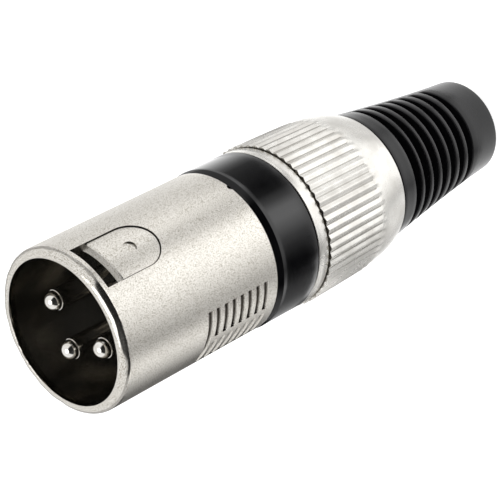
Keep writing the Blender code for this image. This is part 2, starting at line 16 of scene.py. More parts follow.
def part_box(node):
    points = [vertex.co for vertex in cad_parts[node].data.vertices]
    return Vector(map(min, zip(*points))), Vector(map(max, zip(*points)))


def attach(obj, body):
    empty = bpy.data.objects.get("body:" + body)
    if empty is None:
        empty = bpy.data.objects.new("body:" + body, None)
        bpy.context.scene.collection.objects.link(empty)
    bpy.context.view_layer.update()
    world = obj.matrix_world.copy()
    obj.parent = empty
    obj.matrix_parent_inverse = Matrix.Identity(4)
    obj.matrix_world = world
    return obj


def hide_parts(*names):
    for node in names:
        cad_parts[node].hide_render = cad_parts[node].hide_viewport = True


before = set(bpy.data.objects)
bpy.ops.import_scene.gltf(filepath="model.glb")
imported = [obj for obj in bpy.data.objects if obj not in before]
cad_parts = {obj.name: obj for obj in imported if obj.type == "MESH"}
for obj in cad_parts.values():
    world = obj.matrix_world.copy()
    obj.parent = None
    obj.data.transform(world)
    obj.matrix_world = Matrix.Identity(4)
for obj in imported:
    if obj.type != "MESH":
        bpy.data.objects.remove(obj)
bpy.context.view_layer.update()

# %% [markdown]
# ## Sizes
#
# The levels come from the CAD nodes, so the new pieces fit round each other as the solids do.
# What the nodes' boxes don't tell, such as the wall of the mouth, is a named value in millimetres.
# Working in millimetres keeps the outlines readable, and one factor turns them to metres.

# %% Levels and radii in millimetres
MM = 0.001


def span(node):
    """The lowest and highest level of a CAD node, in millimetres."""
    low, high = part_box(node)
    return low.z / MM, high.z / MM


SPIGOT_END, MOUTH = span("shell")
RING_REAR, RING_FRONT = span("ring")
NUT_REAR, NUT_FRONT = span("nut")
INSERT_REAR, CAVITY_FLOOR = span("insert")
BOOT_FRONT = span("boot")[1]
BARREL_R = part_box("shell")[1].x / MM

LATCH_ANGLE = -90.0  # the latch window faces -Y
SEAT_GAP = 0.2  # between two faces that bear on each other
FIT_GAP = 0.15  # round a piece that is pressed or slid into another
MOUTH_WALL = 1.15
THREAD_SINK = 1.2  # from the barrel's radius in to the thread's
NOSE_LENGTH = 6.2  # of the insert, in front of the stop in the shell's bore
BARREL_STEPS = 256  # faces round the axis, on the barrel and on what shares its facets

SHOULDER = RING_FRONT + SEAT_GAP
MOUTH_R = BARREL_R - MOUTH_WALL
THREAD_R = BARREL_R - THREAD_SINK
STOP = CAVITY_FLOOR - NOSE_LENGTH
BOOT_TAIL = NUT_REAR - SEAT_GAP
levels = (BOOT_TAIL, NUT_REAR, NUT_FRONT, RING_REAR, SHOULDER, CAVITY_FLOOR, MOUTH)
print("Levels:", [round(z, 2) for z in levels])

# %% [markdown]
# ## Tools of the workshop
#
# Nearly every piece of a plug is turned, so one helper does what a lathe does. It starts with a
# circle that has as many corners as the outline, moves the corners onto the outline, and spins
# it round the axis. An operator acts on all that is selected, so everything else is let go first.

# %% Selecting, spinning and cutting
WELD = 0.0005  # points of a spun mesh that lie closer than this become one


def only(*objects):
    """Selects these objects and nothing else. The first one becomes active."""
    bpy.ops.object.select_all(action="DESELECT")
    for obj in objects:
        obj.select_set(True)
    bpy.context.view_layer.objects.active = objects[0]


def arc(centre_r, centre_z, radius, start, end, steps):
    """Points (r, z) of an arc, with its angles in degrees, 0 pointing out and 90 pointing up."""
    turns = [math.radians(start + (end - start) * i / steps) for i in range(steps + 1)]
    return [(centre_r + radius * math.cos(t), centre_z + radius * math.sin(t)) for t in turns]


def wall(radius, start, end, pitch):
    """Points (r, z) down a straight wall, so that its faces stay short."""
    count = max(1, round(abs(end - start) / pitch))
    return [(radius, start + (end - start) * i / count) for i in range(count + 1)]


def lathe_place(point):
    """The distance from the axis and the level of a mesh's point, in millimetres."""
    return math.hypot(point.x, point.y) / MM, point.z / MM


def degrees_off(point, middle):
    """How far a point stands from an angle round the axis, in degrees, the short way."""
    turned = math.degrees(math.atan2(point.y, point.x)) - middle
    return abs((turned + 180) % 360 - 180)


def spin_outline(name, outline, steps, turn=360.0, start=0.0, caps=False):
    """Spins a closed outline of (r, z) points in millimetres round Z, from one angle on, in degrees.
    With no window the spin operator turns the other way, so its angle is negative."""
    bpy.ops.object.select_all(action="DESELECT")
    bpy.ops.mesh.primitive_circle_add(vertices=len(outline), radius=BARREL_R * MM)
    piece = bpy.context.object
    piece.name = piece.data.name = name
    across, along = math.cos(math.radians(start)), math.sin(math.radians(start))
    for vert, (r, z) in zip(piece.data.vertices, outline):
        vert.co = (r * across * MM, r * along * MM, z * MM)
    bpy.ops.object.mode_set(mode="EDIT")
    bpy.ops.mesh.select_all(action="SELECT")
    bpy.ops.mesh.spin(steps=steps, angle=-math.radians(turn), center=(0, 0, 0), axis=(0, 0, 1))
    bpy.ops.mesh.select_all(action="SELECT")
    bpy.ops.mesh.remove_doubles(threshold=WELD * MM)
    if caps:
        bpy.ops.mesh.fill_holes(sides=0)
    bpy.ops.mesh.select_all(action="SELECT")
    bpy.ops.mesh.normals_make_consistent(inside=False)
    bpy.ops.object.mode_set(mode="OBJECT")
    return piece


def combine(piece, tool, operation="DIFFERENCE"):
    """Cuts a tool from a piece, or joins it on, and removes the tool."""
    only(piece)
    modifier = piece.modifiers.new(tool.name, "BOOLEAN")
    modifier.operation, modifier.solver, modifier.object = operation, "EXACT", tool
    bpy.ops.object.modifier_apply(modifier=modifier.name)
    bpy.data.objects.remove(tool)


def settle():
    """Applies the active object's place, turn and size to its mesh."""
    bpy.ops.object.transform_apply(location=True, rotation=True, scale=True)
    return bpy.context.object


def block(name, low, high):
    """A box between two corners in millimetres."""
    low, high = Vector(low) * MM, Vector(high) * MM
    bpy.ops.object.select_all(action="DESELECT")
    bpy.ops.mesh.primitive_cube_add(size=1, location=(low + high) / 2, scale=high - low)
    bpy.context.object.name = name
    return settle()


def rod(name, radius, low, high, steps):
    """A round bar between two points in millimetres."""
    low, high = Vector(low) * MM, Vector(high) * MM
    way = Vector((0, 0, 1)).rotation_difference(high - low).to_euler()
    bpy.ops.object.select_all(action="DESELECT")
    bpy.ops.mesh.primitive_cylinder_add(
        vertices=steps, radius=radius * MM, depth=(high - low).length, location=(low + high) / 2, rotation=way
    )
    bpy.context.object.name = name
    return settle()


def soften(piece, width, segments=2, angle=35):
    """Rounds every edge that is sharper than an angle, as a mould or a tumbling drum does."""
    only(piece)
    modifier = piece.modifiers.new("soften", "BEVEL")
    modifier.width, modifier.segments = width * MM, segments
    modifier.limit_method, modifier.angle_limit = "ANGLE", math.radians(angle)
    modifier.use_clamp_overlap = False
    bpy.ops.object.modifier_apply(modifier=modifier.name)


# %% [markdown]
# ## Colours and nodes
#
# Colours are written as they look on screen, in hex, and one function turns them to the linear
# values that shaders use. A second function adds any node with its settings and links.

# %% Helpers for materials
def linear(colour):
    """A hex colour as the linear RGBA that a shader takes."""
    channels = [int(colour[i : i + 2], 16) / 255 for i in (1, 3, 5)]
    return [c / 12.92 if c <= 0.04045 else ((c + 0.055) / 1.055) ** 2.4 for c in channels] + [1]


def node(tree, kind, inputs, stops=(), **settings):
    """Adds a node with its settings. Each input gets a value, or a link from another node's output.
    The stops are a colour ramp's (position, colour) pairs."""
    made = tree.nodes.new(kind)
    for key, value in settings.items():
        setattr(made, key, value)
    for position, colour in stops[2:]:
        made.color_ramp.elements.new(position)
    for element, (position, colour) in zip(made.color_ramp.elements if stops else (), sorted(stops)):
        element.position, element.color = position, colour
    for key, value in inputs.items():
        if isinstance(value, bpy.types.NodeSocket):
            tree.links.new(value, made.inputs[key])
        else:
            made.inputs[key].default_value = value
    return made


def new_material(name, metallic, roughness, colour):
    """A material with its own Principled shader, its tree and its Object coordinates."""
    material = bpy.data.materials.new(name)
    material.use_nodes = True
    tree = material.node_tree
    shader = tree.nodes["Principled BSDF"]
    shader.inputs["Base Color"].default_value = linear(colour)
    shader.inputs["Metallic"].default_value = metallic
    shader.inputs["Roughness"].default_value = roughness
    place = tree.nodes.new("ShaderNodeTexCoord").outputs["Object"]
    return material, tree, shader, place


def mark_faces(piece, name, measure):
    """Writes a number for each face into an attribute of the mesh, for a material to read."""
    attribute = piece.data.attributes.new(name, "FLOAT", "FACE")
    attribute.data.foreach_set("value", [float(measure(face)) for face in piece.data.polygons])


def dress(piece, material, slot, body, *nodes, smooth=30):
    """Gives a finished piece its shading and finish, and says what it rides on and stands for."""
    only(piece)
    bpy.ops.object.shade_smooth_by_angle(angle=math.radians(smooth))
    piece.data.materials.clear()
    piece.data.materials.append(material)
    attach(piece, body)
    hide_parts(*nodes)
    print(f"{piece.name}: {len(piece.data.polygons)} faces")


# %% [markdown]
# ## The camera
#
# The photograph looks down on the plug from the side of its latch window, and the picture is
# turned so that the plug lies across it. The view was worked out from the round edges of the
# mouth, ring and nut. The lens is long, so the plug hardly narrows with distance.

# %% Camera
AIM = Vector((-1.28322, 0.73193, 39.17346)) * MM
DISTANCE = 238.264 * MM
LOOK_DOWN, LOOK_ALONG, ROLL = 39.58226, 60.30108, -117.72701

turn = Euler((math.radians(90 - LOOK_DOWN), 0, math.radians(LOOK_ALONG - 90))).to_quaternion()
turn = turn @ Quaternion((0, 0, 1), math.radians(ROLL))
bpy.ops.object.camera_add(location=AIM + turn @ Vector((0, 0, DISTANCE)), rotation=turn.to_euler())
camera = bpy.context.object
camera.data.lens, camera.data.sensor_width = 152.14017, 36
camera.data.clip_start = 0.01
bpy.context.scene.camera = camera
print("Camera at", [round(x / MM, 2) for x in camera.location])

# %% [markdown]
# ## Satin nickel
#
# The shell is a zinc casting, tumbled and plated with nickel. It is a metal, so all its colour is
# in its reflections, and the fine grain of the casting spreads them: the roughness is high for a
# metal. The grain is finer than the camera sees, so it is drawn 0.1 mm wide, as coarse as it needs
# to show. It moves colour and bump together, so that a pit is also a little darker. The lip
# is rubbed smoother than the rest. Painted shade darkens the grooves, the window, the groove round
# the pad and the cavity: an attribute of the mesh says where a dark grained colour is mixed in.
# The cavity is bored smooth, and a second attribute says where that is.

# %% Satin nickel
GRAIN, CLOUD = 0.1, 4.0  # how wide the spots of the two noises are
satin_nickel, tree, shader, place = new_material("tumbled_nickel_plate", 1.0, 0.34, "#DAD6CF")
grain = node(
    tree, "ShaderNodeTexNoise", {"Vector": place, "Scale": 1 / (GRAIN * MM), "Detail": 1.0}
).outputs["Fac"]
cloud = node(
    tree, "ShaderNodeTexNoise", {"Vector": place, "Scale": 1 / (CLOUD * MM), "Detail": 3.0}
).outputs["Fac"]
plate = node(
    tree,
    "ShaderNodeValToRGB",
    {"Fac": grain},
    stops=[(0.32, linear("#979082")), (0.45, linear("#D3CFC7")), (0.66, linear("#E6E3DD"))],
).outputs["Color"]
# Painted shade: a dark grained colour, mixed in where an attribute of the mesh says, in the grooves, the
# window, the pad's groove and the cavity.
painted_shade_colour = node(
    tree,
    "ShaderNodeValToRGB",
    {"Fac": grain},
    stops=[(0.5, linear("#17140F")), (0.7, linear("#5E574A"))],
).outputs["Color"]
painted_shade = node(tree, "ShaderNodeAttribute", {}, attribute_name="painted_shade").outputs["Fac"]
skin = node(tree, "ShaderNodeMix", {0: painted_shade, 6: plate, 7: painted_shade_colour}, data_type="RGBA").outputs[2]
height = node(tree, "ShaderNodeSeparateXYZ", {"Vector": place}).outputs["Z"]
haze = node(tree, "ShaderNodeMapRange", {"Value": cloud, "To Min": 0.3, "To Max": 0.38}).outputs["Result"]
lip_edge = {"From Min": (MOUTH - 1.0) * MM, "From Max": (MOUTH - 0.75) * MM}
rubbed = node(tree, "ShaderNodeMapRange", {"Value": height, **lip_edge, "To Min": 1.0, "To Max": 0.45})
cast = node(
    tree, "ShaderNodeMath", {0: haze, 1: rubbed.outputs["Result"]}, operation="MULTIPLY"
).outputs["Value"]
bored = node(tree, "ShaderNodeAttribute", {}, attribute_name="bored").outputs["Fac"]
smooth = node(tree, "ShaderNodeMapRange", {"Value": bored, "To Min": 1.0, "To Max": 0.45}).outputs["Result"]
gloss = node(tree, "ShaderNodeMath", {0: cast, 1: smooth}, operation="MULTIPLY").outputs["Value"]
pitted = node(tree, "ShaderNodeMapRange", {"Value": height, **lip_edge, "To Min": 0.6, "To Max": 0.1})
relief = node(
    tree, "ShaderNodeBump", {"Height": grain, "Strength": pitted.outputs["Result"], "Distance": 0.01 * MM}
).outputs["Normal"]
tree.links.new(skin, shader.inputs["Base Color"])
tree.links.new(gloss, shader.inputs["Roughness"])
tree.links.new(relief, shader.inputs["Normal"])

# %% [markdown]
# ## Bright nickel
#
# The nut is turned brass with a smoother plate, so it is the same metal with less roughness. Three
# things break it up: a faint haze in patches of a few millimetres, dust and painted shade in the
# narrow groove in front of the flutes, which a mask on the height places there, and painted shade,
# a grey line at the bottom between two flutes, which an attribute of the mesh marks.

# %% Bright nickel
FLUTE_FRONT = NUT_FRONT - 1.7
RELIEF_WIDTH = 0.22  # of the groove in front of the flutes
PATCH, MARK = 2.2, 0.3  # how wide the spots of the two noises are
bright_nickel, tree, shader, place = new_material("turned_nickel_plate", 1.0, 0.3, "#DEDBD5")
axes = node(tree, "ShaderNodeSeparateXYZ", {"Vector": place})
patches = node(
    tree, "ShaderNodeTexNoise", {"Vector": place, "Scale": 1 / (PATCH * MM), "Detail": 4.0}
).outputs["Fac"]
marks = node(
    tree, "ShaderNodeTexNoise", {"Vector": place, "Scale": 1 / (MARK * MM), "Detail": 3.0}
).outputs["Fac"]
clean = node(
    tree,
    "ShaderNodeValToRGB",
    {"Fac": patches},
    stops=[(0.3, linear("#D3D0CA")), (0.62, linear("#E6E4DF"))],
).outputs["Color"]
worn = node(
    tree,
    "ShaderNodeValToRGB",
    {"Fac": marks},
    stops=[(0.66, (0, 0, 0, 1)), (0.76, (1, 1, 1, 1))],
).outputs["Color"]
# Dust and painted shade: a patchy dark band in the narrow groove in front of the flutes.
groove_level = FLUTE_FRONT + RELIEF_WIDTH / 2
groove_middle = node(
    tree, "ShaderNodeMath", {0: axes.outputs["Z"], 1: -groove_level * MM}, operation="ADD"
).outputs["Value"]
off_groove = node(tree, "ShaderNodeMath", {0: groove_middle}, operation="ABSOLUTE").outputs["Value"]
patchy_strength = node(tree, "ShaderNodeMapRange", {"Value": marks, "From Min": 0.3, "From Max": 0.6, "To Max": 0.9})
groove_dust_and_shade = node(
    tree,
    "ShaderNodeMapRange",
    {"Value": off_groove, "From Min": 0.1 * MM, "From Max": 0.14 * MM, "To Max": 0.0},
)
tree.links.new(patchy_strength.outputs["Result"], groove_dust_and_shade.inputs["To Min"])
dust_and_shaded = node(
    tree, "ShaderNodeMix", {0: groove_dust_and_shade.outputs["Result"], 6: clean, 7: linear("#5B5446")}, data_type="RGBA"
).outputs[2]
scuff = node(tree, "ShaderNodeMath", {0: worn, 1: 0.35}, operation="MULTIPLY").outputs["Value"]
scuffed = node(
    tree, "ShaderNodeMix", {0: scuff, 6: dust_and_shaded, 7: linear("#8C8372")}, data_type="RGBA"
).outputs[2]
# Painted shade: a grey line mixed into the colour at the bottom between two flutes, where an attribute of the
# mesh says.
valley_shade = node(tree, "ShaderNodeAttribute", {}, attribute_name="valley_shade").outputs["Fac"]
valley = node(tree, "ShaderNodeMath", {0: valley_shade, 1: 0.5}, operation="MULTIPLY").outputs["Value"]
valley_shaded = node(
    tree, "ShaderNodeMix", {0: valley, 6: scuffed, 7: linear("#5E5A50")}, data_type="RGBA"
).outputs[2]
haze = node(tree, "ShaderNodeMapRange", {"Value": patches, "To Min": 0.33, "To Max": 0.22}).outputs["Result"]
relief = node(
    tree, "ShaderNodeBump", {"Height": marks, "Strength": 0.2, "Distance": 0.01 * MM}
).outputs["Normal"]
tree.links.new(valley_shaded, shader.inputs["Base Color"])
tree.links.new(haze, shader.inputs["Roughness"])
tree.links.new(relief, shader.inputs["Normal"])

# %% [markdown]
# ## Plated pins
#
# The pins are turned brass, polished and plated, and they mirror the room almost sharply. Only
# faint wipe marks change the roughness.

# %% Plated pins
WIPE = 0.6  # how wide a wipe mark is
plated_pin, tree, shader, place = new_material("polished_plate", 1.0, 0.08, "#E6E3DE")
wipes = node(
    tree, "ShaderNodeTexNoise", {"Vector": place, "Scale": 1 / (WIPE * MM), "Detail": 4.0}
).outputs["Fac"]
sheen = node(tree, "ShaderNodeMapRange", {"Value": wipes, "To Min": 0.04, "To Max": 0.14}).outputs["Result"]
tint = node(
    tree,
    "ShaderNodeValToRGB",
    {"Fac": wipes},
    stops=[(0.3, linear("#D9D5CE")), (0.7, linear("#ECEAE6"))],
).outputs["Color"]
tree.links.new(tint, shader.inputs["Base Color"])
tree.links.new(sheen, shader.inputs["Roughness"])

# %% [markdown]
# ## Black plastics and rubber
#
# The ring is glossy moulded ABS: nearly black, and smooth enough to mirror the lamps. The insert
# and the chuck are moulded nylon with a matt skin. The boot is a soft rubber with a low sheen.
# All three are the same recipe with other numbers: a little noise in colour, gloss and relief.

# %% Black plastics and rubber
def moulded(name, dark, light, gloss, grain_mm, bump_mm):
    """A moulded black material. Gloss is its lowest and highest roughness."""
    material, tree, shader, place = new_material(name, 0.0, gloss[0], dark)
    skin = node(tree, "ShaderNodeTexNoise", {"Vector": place, "Scale": 1 / (grain_mm * MM), "Detail": 3.0})
    skin = skin.outputs["Fac"]
    tint = node(
        tree, "ShaderNodeValToRGB", {"Fac": skin}, stops=[(0.3, linear(dark)), (0.7, linear(light))]
    ).outputs["Color"]
    sheen = node(tree, "ShaderNodeMapRange", {"Value": skin, "To Min": gloss[0], "To Max": gloss[1]})
    relief = node(tree, "ShaderNodeBump", {"Height": skin, "Strength": 0.5, "Distance": bump_mm * MM})
    tree.links.new(tint, shader.inputs["Base Color"])
    tree.links.new(sheen.outputs["Result"], shader.inputs["Roughness"])
    tree.links.new(relief.outputs["Normal"], shader.inputs["Normal"])
    return material


gloss_black = moulded("gloss_black_abs", "#060608", "#0B0B0D", (0.05, 0.09), 1.2, 0.003)
matt_black = moulded("matt_black_nylon", "#0C0B0A", "#151311", (0.5, 0.62), 0.25, 0.02)
black_rubber = moulded("soft_black_rubber", "#08080A", "#101012", (0.19, 0.26), 0.3, 0.006)
black_rubber.node_tree.nodes["Principled BSDF"].inputs["Specular IOR Level"].default_value = 0.36
print("Materials:", gloss_black.name, matt_black.name, black_rubber.name)

# %% [markdown]
# ## The shell
#
# The shell is one casting: the barrel with its round lip, the cavity for the other plug, and
# behind the shoulder a spigot for the ring and the nut. It could be built from stacked cylinders,
# but one spun outline gives every radius and every level at once, in one closed skin.

# %% Shell outline
LIP_ROUND, LIP_INNER_ROUND, SHOULDER_ROUND = 0.85, 0.1, 0.15
RING_SEAT_R, SPIGOT_BORE_R, NOSE_BORE_R = THREAD_R + 0.2, THREAD_R - 1.0, THREAD_R - 1.55
THREAD_FRONT, THREAD_END = RING_REAR - 0.3, SPIGOT_END + 0.4
THREAD_ROWS = 0.125  # between two rows of points along the thread

outline = arc(MOUTH_R + LIP_INNER_ROUND, MOUTH - LIP_INNER_ROUND, LIP_INNER_ROUND, 180, 90, 3)
outline += arc(BARREL_R - LIP_ROUND, MOUTH - LIP_ROUND, LIP_ROUND, 90, 0, 14)
outline += wall(BARREL_R, MOUTH - LIP_ROUND, SHOULDER + SHOULDER_ROUND, 0.5)[1:]
outline += arc(BARREL_R - SHOULDER_ROUND, SHOULDER + SHOULDER_ROUND, SHOULDER_ROUND, 0, -90, 4)[1:]
outline += [(RING_SEAT_R, SHOULDER), (RING_SEAT_R, RING_REAR), (THREAD_R, RING_REAR - 0.2)]
outline += wall(THREAD_R, THREAD_FRONT, THREAD_END, THREAD_ROWS)
outline += [(THREAD_R - 0.4, SPIGOT_END), (SPIGOT_BORE_R, SPIGOT_END), (SPIGOT_BORE_R, STOP)]
outline += [(NOSE_BORE_R, STOP), (NOSE_BORE_R, CAVITY_FLOOR), (MOUTH_R, CAVITY_FLOOR)]
outline += wall(MOUTH_R, CAVITY_FLOOR, MOUTH - LIP_INNER_ROUND, 0.5)[1:-1]
shell = spin_outline("shell_fine", outline, BARREL_STEPS)
print("Shell outline of", len(outline), "points")

# %% [markdown]
# ## Latch window and recess
#
# The other plug's catch snaps into a window near the lip. Behind it lies a D-shaped pad, a little
# lower than the barrel, with a fine groove round it and its front edge broken. A D-shaped bar is
# a round bar that is cut in half by a bisect, with the cut face drawn up to the window. A core as
# round as the groove's floor is taken out of it, so that it can't cut deeper, and so is a narrower
# bar for the pad. The wide one is a hair narrower than the window, so that no two faces coincide.

# %% Latch window and pad
WINDOW_TOP, WINDOW_HALF, WINDOW_LENGTH = MOUTH - 1.3, 3.03, 2.25
PAD_LENGTH, PAD_GROOVE, PAD_CHAMFER, PAD_EDGE_ARC = 7.0, 0.14, 0.15, 35.6
RECESS_R, PAD_R = BARREL_R - 0.3, BARREL_R - 0.14
DIMPLE_R, DIMPLE_DEPTH = 0.75, 0.2
HAIR = 0.004
window_low = WINDOW_TOP - WINDOW_LENGTH
recess_middle = window_low - PAD_LENGTH + WINDOW_HALF

window = block("window", (-WINDOW_HALF, -BARREL_R - 1, window_low), (WINDOW_HALF, -NOSE_BORE_R, WINDOW_TOP))
combine(shell, window)


def d_bar(name, half, top):
    """A D-shaped bar that points at the pad from outside, with its straight end at a level."""
    bar = rod(name, half, (0, -BARREL_R - 1, recess_middle), (0, -NOSE_BORE_R, recess_middle), 96)
    cut = {"plane_co": (0, 0, recess_middle * MM), "plane_no": (0, 0, 1)}
    bpy.ops.object.mode_set(mode="EDIT")
    bpy.ops.mesh.select_all(action="SELECT")
    bpy.ops.mesh.bisect(**cut, use_fill=True, clear_outer=True, clear_inner=False)
    bpy.ops.mesh.extrude_region_move(TRANSFORM_OT_translate={"value": (0, 0, (top - recess_middle) * MM)})
    bpy.ops.mesh.select_all(action="SELECT")
    bpy.ops.mesh.normals_make_consistent(inside=False)
    bpy.ops.object.mode_set(mode="OBJECT")
    return bar


recess_half = WINDOW_HALF - HAIR
core_low, core_high = (0, 0, recess_middle - 9), (0, 0, MOUTH + 1)
recess = d_bar("recess", recess_half, window_low + 0.4)
combine(recess, rod("core", RECESS_R, core_low, core_high, BARREL_STEPS))
pad = d_bar("pad", recess_half - PAD_GROOVE, window_low + 0.8)
combine(pad, rod("pad_core", PAD_R, core_low, core_high, BARREL_STEPS), "INTERSECT")
combine(recess, pad)
combine(shell, recess)
edge = [(PAD_R - 0.2, window_low + 0.08), (PAD_R + 0.1, window_low + 0.08)]
edge += [(PAD_R + 0.1, window_low - PAD_CHAMFER), (PAD_R, window_low - PAD_CHAMFER)]
combine(shell, spin_outline("pad_edge", edge, 36, PAD_EDGE_ARC, LATCH_ANGLE - PAD_EDGE_ARC / 2, caps=True))

dimple_z = window_low - PAD_LENGTH / 2
dimple_floor = -PAD_R + DIMPLE_DEPTH
combine(shell, rod("dimple", DIMPLE_R, (0, dimple_floor, dimple_z), (0, -BARREL_R - 1, dimple_z), 48))
print("Window from", round(window_low, 2), "to", round(WINDOW_TOP, 2), "mm")
print("Pad down to", round(recess_middle - recess_half, 2), "mm")

# %% [markdown]
# ## Grip grooves
#
# On each side two rows of short grooves give the fingers a hold. One groove is a steep channel
# with worn, sloping edges, spun through 22 degrees, with its two ends rounded by a bevel. Each row
# starts with one, which is copied up the barrel. The groove nearest the mouth is one long channel
# through both rows. A small nick in the barrel's rear edge stands beside the latch.

# %% Grip grooves
GROOVES, PITCH, GROOVE_ARC, ROW_GAP, GRIP_ANGLE = 8, 1.23, 22.0, 4.5, 88.0
GROOVE_DEPTH, SLOPE_DEPTH, CUT_PAST, GROOVE_END_ROUND = 0.38, 0.26, 0.15, 0.18
FLOOR_HALF, SLOPE_HALF, PAST_HALF = 0.2, 0.21, 0.45  # half the groove's width at those three levels
FIRST_GROOVE = 1.9  # from the shoulder up to the middle of the lowest groove
NICK_R, NICK_DEPTH, NICK_ANGLE = 0.4, 0.35, 6.3


def groove(name, middle, arc_length):
    """One groove's cutter with rounded ends, at the level of the first one."""
    z = SHOULDER + FIRST_GROOVE
    outline = [(BARREL_R - GROOVE_DEPTH, z - FLOOR_HALF), (BARREL_R - SLOPE_DEPTH, z - SLOPE_HALF)]
    outline += [(BARREL_R + CUT_PAST, z - PAST_HALF)]
    outline += [(r, 2 * z - level) for r, level in outline[::-1]]
    start = middle - arc_length / 2
    cutter = spin_outline(name, outline, round(arc_length), arc_length, start, caps=True)
    bm = bmesh.new()
    bm.from_mesh(cutter.data)
    ends = []
    for edge in bm.edges:
        offsets = [degrees_off(vert.co, middle) for vert in edge.verts]
        depths = [lathe_place(vert.co)[0] for vert in edge.verts]
        if min(offsets) > arc_length / 2 - 0.01 and abs(depths[0] - depths[1]) > 0.2:
            ends.append(edge)
    bmesh.ops.bevel(
        bm, geom=ends, offset=GROOVE_END_ROUND * MM, segments=4, profile=0.5, affect="EDGES"
    )
    bm.to_mesh(cutter.data)
    bm.free()
    return cutter


cutters = []
for side in (-1, 1):
    middle = LATCH_ANGLE + side * GRIP_ANGLE
    for row in (-1, 1):
        first = groove("groove", middle + row * (ROW_GAP + GROOVE_ARC) / 2, GROOVE_ARC)
        cutters.append(first)
        for i in range(1, GROOVES - 1):
            only(first)
            bpy.ops.object.duplicate()
            bpy.context.object.location.z = i * PITCH * MM
            cutters.append(bpy.context.object)
    long = groove("long_groove", middle, ROW_GAP + 2 * GROOVE_ARC)
    long.location.z = (GROOVES - 1) * PITCH * MM
    cutters.append(long)
nick = math.radians(LATCH_ANGLE + NICK_ANGLE)
way, rear_edge = Vector((math.cos(nick), math.sin(nick), 0)), Vector((0, 0, SHOULDER))
nick_low, nick_high = way * (BARREL_R - NICK_DEPTH) + rear_edge, way * (BARREL_R + 1) + rear_edge
cutters.append(rod("nick", NICK_R, nick_low, nick_high, 32))
only(*cutters)
bpy.ops.object.join()
combine(shell, settle())
print(len(cutters), "grooves and nicks cut")

# %% [markdown]
# ## Keyway and thread
#
# The keyway keeps the insert from turning. The thread shows only when the nut is screwed back, but
# then it shows all round. It is cut by moving points: each point of the spigot sinks as
# far as the groove of a right-hand thread of 1 mm pitch is deep at its angle and height.

# %% Keyway and thread
KEY_HALF, KEY_HEIGHT, KEY_FROM_STOP = 0.95, 0.35, 0.45
keyway_half, keyway_top = KEY_HALF + FIT_GAP, STOP - KEY_FROM_STOP + FIT_GAP
keyway_low = (-keyway_half, -SPIGOT_BORE_R - KEY_HEIGHT - FIT_GAP, SPIGOT_END - 1)
combine(shell, block("keyway", keyway_low, (keyway_half, -THREAD_R + 1.7, keyway_top)))
THREAD_PITCH, THREAD_DEPTH = 1.0, 0.42
for vert in shell.data.vertices:
    radius, z = lathe_place(vert.co)
    if abs(radius - THREAD_R) < 0.02 and THREAD_END - 0.01 < z < THREAD_FRONT + 0.01:
        turned = math.atan2(vert.co.y, vert.co.x) / (2 * math.pi)
        phase = (z / THREAD_PITCH - turned) % 1
        flank = 1.95 - 2.4 * abs(2 * phase - 1)
        fade = min(1, (THREAD_FRONT - z) / 0.6, (z - THREAD_END + 0.1) / 0.3)
        sink = THREAD_DEPTH * max(0, min(1, flank)) * max(0, fade)
        vert.co.x *= 1 - sink / radius
        vert.co.y *= 1 - sink / radius
print("Thread from", round(THREAD_END, 2), "to", round(THREAD_FRONT, 2), "mm")

# %% [markdown]
# ## Worn lip and painted shade
#
# The lip has been knocked about, so its round edge is a little uneven: its points sink by a few
# hundredths of a millimetre, after a noise of 1.5 mm. Then each face is told how much painted
# shade it gets, by its place and the way it faces. The material mixes a dark grained colour in by that
# number.

# %% Worn lip and painted shade
DENT_DEPTH, DENT_WIDTH = 0.07, 1.5
LATCH_SIDE = -7.0  # what lies beyond this along Y belongs to the window and the pad
for vert in shell.data.vertices:
    radius, z = lathe_place(vert.co)
    if radius > MOUTH_R + 0.2 and z > MOUTH - LIP_ROUND - 0.01:
        fade = min(1, (z - MOUTH + LIP_ROUND + 0.05) / 0.2)
        dent = DENT_DEPTH * max(0, noise.noise(vert.co / (DENT_WIDTH * MM))) * fade
        vert.co -= Vector((vert.co.x / radius * dent, vert.co.y / radius * dent, dent * MM))


def in_cavity(face):
    """Whether a face of the shell is part of the wall of the cavity."""
    radius, z = lathe_place(face.center)
    inward = face.normal.x * face.center.x + face.normal.y * face.center.y < 0
    return inward and radius < MOUTH_R + 0.02 and z > CAVITY_FLOOR - 0.1


def latch_painted_shade(face, radius, outward):
    """How much painted shade a face of the window or the pad gets."""
    x, y, z = face.center / MM
    if z > window_low - 0.01:
        return 0.45 if face.normal.z > 0.9 else 0.7
    if face.normal.z > 0.3 and z > window_low - PAD_CHAMFER - 0.01:
        return 0.0
    if math.hypot(x, z - dimple_z) < DIMPLE_R + 0.05:
        return 0.0 if outward > 0.9 else 0.6
    return 0.0 if outward > 0.9 and radius > RECESS_R + 0.05 else 0.82


def painted_shade_amount(face):
    """How much painted shade a face of the shell gets, from 0 for none to 1 for the darkest."""
    x, y, z = face.center / MM
    radius = math.hypot(x, y)
    outward = (face.normal.x * x + face.normal.y * y) / radius
    if in_cavity(face):
        return 0.25
    if radius > BARREL_R - 0.02 or not SHOULDER + 0.2 < z < WINDOW_TOP + 0.01:
        return 0.0
    if y < LATCH_SIDE:
        return latch_painted_shade(face, radius, outward)
    if outward > 0.7:
        # Painted shade is darkest on the groove floors towards the latch.
        return 1.0 if degrees_off(face.center, LATCH_ANGLE) < GRIP_ANGLE - 21 else 0.3
    if face.normal.z > 0.5:
        return 0.0 if radius > BARREL_R - SLOPE_DEPTH else 0.6
    return 0.9


# Painted shade for the grooves, window, pad groove and cavity is written into an attribute of the mesh.
mark_faces(shell, "painted_shade", painted_shade_amount)
mark_faces(shell, "bored", in_cavity)
dress(shell, satin_nickel, "satin_nickel", "shell", "shell")

# %% [markdown]
# ## The ring
#
# A black ring sits between the barrel and the nut, and other plugs of a set have it in
# other colours. Its front edge has a chamfer, and the edge behind that catches a thin line of light,
# so it gets a small round of its own.

